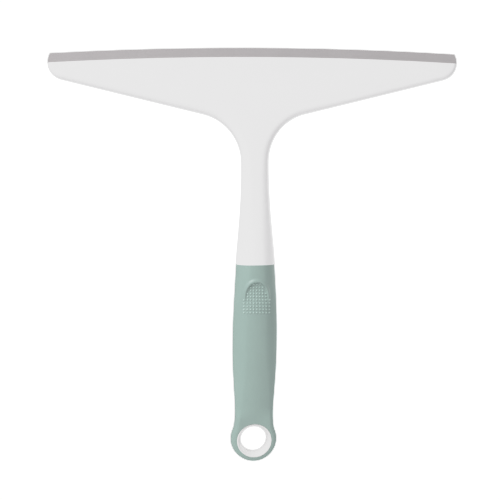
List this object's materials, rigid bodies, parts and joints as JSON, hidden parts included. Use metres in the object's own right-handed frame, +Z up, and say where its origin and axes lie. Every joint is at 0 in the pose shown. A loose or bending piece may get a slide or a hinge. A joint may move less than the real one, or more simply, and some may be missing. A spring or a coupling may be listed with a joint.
{
  "type": "window squeegee",
  "caption": "T-shaped window squeegee with a hollow two-half head and neck, a bowed rubber blade, a soft grip over the tang and a round hanging eyelet.",
  "frame": {"origin": "centre of the hanging hole, halfway through its thickness", "axes": "+Z up the handle to the blade, -Y out of the front face that the thumb rests on, +X to the right seen from the front"},
  "size_m": [0.25, 0.0328, 0.2521],
  "materials": {
    "white_plastic": "fine satin texture",
    "grey_rubber": "smooth matte silicone",
    "strip_plastic": "plain extruded strip",
    "sage_grip": "soft satin rubber"
  },
  "bodies": {
    "root": {"front_shell": "white_plastic", "rear_shell": "white_plastic", "blade": "grey_rubber", "blade_spine": "strip_plastic", "grip_sleeve": "sage_grip", "eyelet_front": "white_plastic", "eyelet_rear": "white_plastic"}
  },
  "joints": []
}
